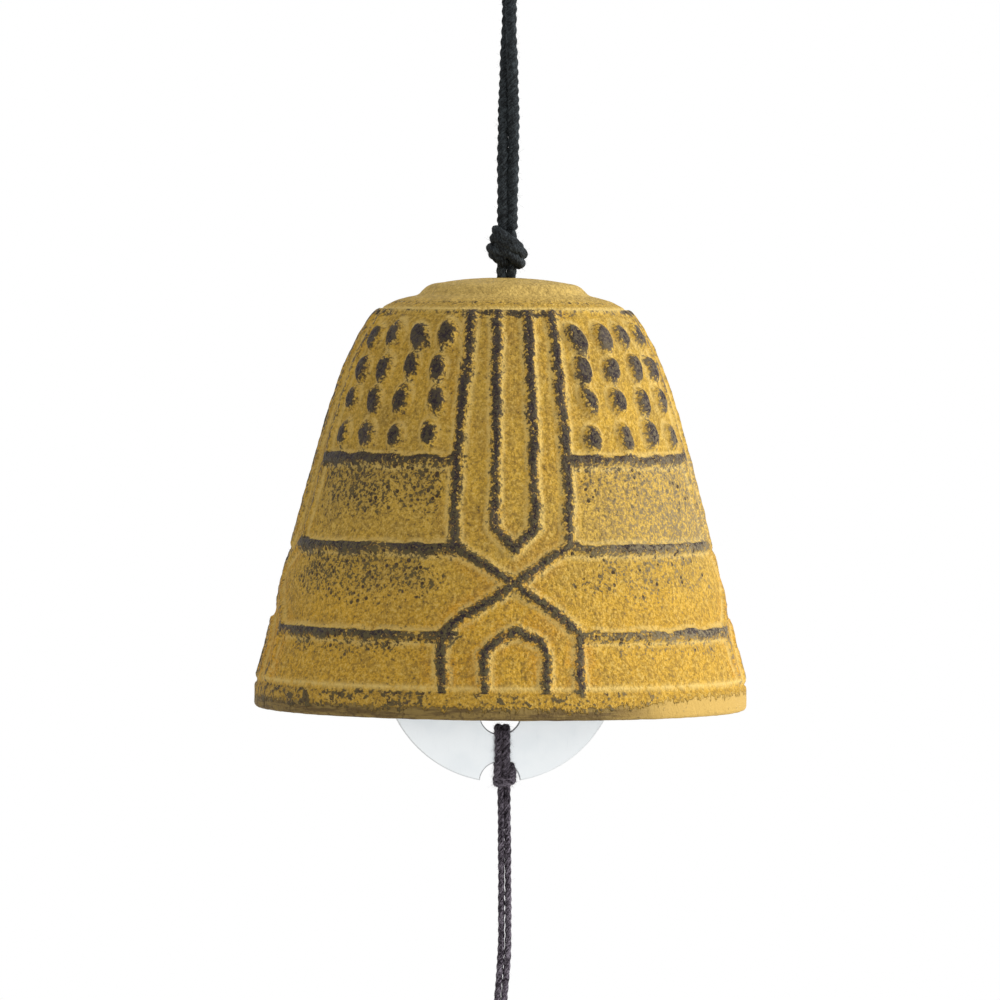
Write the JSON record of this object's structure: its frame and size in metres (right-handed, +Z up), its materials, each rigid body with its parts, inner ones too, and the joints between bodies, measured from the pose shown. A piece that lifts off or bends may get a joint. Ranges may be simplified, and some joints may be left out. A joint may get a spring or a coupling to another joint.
{
  "type": "furin wind bell",
  "caption": "Cast wind bell with temple-bell bands and bosses on a doubled cord, with a notched disc clapper and a hanging paper strip.",
  "frame": {"origin": "the hook's seat, inside the fold of the hanging loop, on the bell's axis", "axes": "+Z up along the bell's axis; the clapper's disc and the paper strip face -Y"},
  "size_m": [0.072, 0.072, 0.2836],
  "materials": {
    "bell_paint": "gold-ochre paint over rough sand casting, worn dark on the raised lines",
    "black_cord": "black twisted cotton cord, slightly fuzzy",
    "plum_cord": "dark plum-grey twisted cotton cord",
    "bare_aluminium": "bare rolled aluminium with faint scratches",
    "strip_paper": "plain fibrous paper, matte",
    "patch_paper": "small paper ring glued round the hole, matte"
  },
  "bodies": {
    "hanging_loop": {"loop_bend": "black_cord"},
    "hanging_cord": {"loop_legs": "black_cord"},
    "knots": {"crown_knot": "black_cord", "neck_cord": "black_cord"},
    "bell": {"bell_casting": "bell_paint"},
    "stopper": {"stopper_knot": "black_cord"},
    "clapper": {"clapper_cord": "black_cord", "clapper_collar": "black_cord", "clapper_hitch": "black_cord", "clapper_disc": "bare_aluminium", "strip_hitch": "plum_cord", "strip_collar": "plum_cord"},
    "lower_cord": {"strip_cord": "plum_cord"},
    "strip_loop": {"strip_loop": "plum_cord"},
    "strip": {"paper_strip": "strip_paper", "strip_patch_front": "patch_paper", "strip_patch_back": "patch_paper"}
  },
  "joints": [
    {"name": "cord_swing", "type": "hinge", "parent": "hanging_loop", "child": "hanging_cord", "pos_m": [0, 0, -0.00352], "axis": [0, 1, 0], "range_deg": [-25, 25]},
    {"name": "bell_swing", "type": "hinge", "parent": "hanging_cord", "child": "knots", "pos_m": [0, 0, -0.04138], "axis": [1, 0, 0], "range_deg": [-25, 25]},
    {"name": "bell_turn", "type": "hinge", "parent": "knots", "child": "bell", "pos_m": [0, 0, -0.0496], "axis": [0, 0, 1], "continuous": true},
    {"name": "clapper_turn", "type": "hinge", "parent": "knots", "child": "stopper", "pos_m": [0, 0, -0.0554], "axis": [0, 0, 1], "continuous": true},
    {"name": "clapper_swing", "type": "hinge", "parent": "stopper", "child": "clapper", "pos_m": [0, 0, -0.06225], "axis": [0, 1, 0], "range_deg": [-17.2, 17.2]},
    {"name": "strip_cord_swing", "type": "hinge", "parent": "clapper", "child": "lower_cord", "pos_m": [0, 0, -0.12474], "axis": [1, 0, 0], "range_deg": [-60, 60]},
    {"name": "strip_turn", "type": "hinge", "parent": "lower_cord", "child": "strip_loop", "pos_m": [0, 0, -0.15757], "axis": [0, 0, 1], "continuous": true},
    {"name": "strip_rock", "type": "hinge", "parent": "strip_loop", "child": "strip", "pos_m": [0, 0, -0.16618], "axis": [0, 1, 0], "range_deg": [-30, 30]}
  ]
}
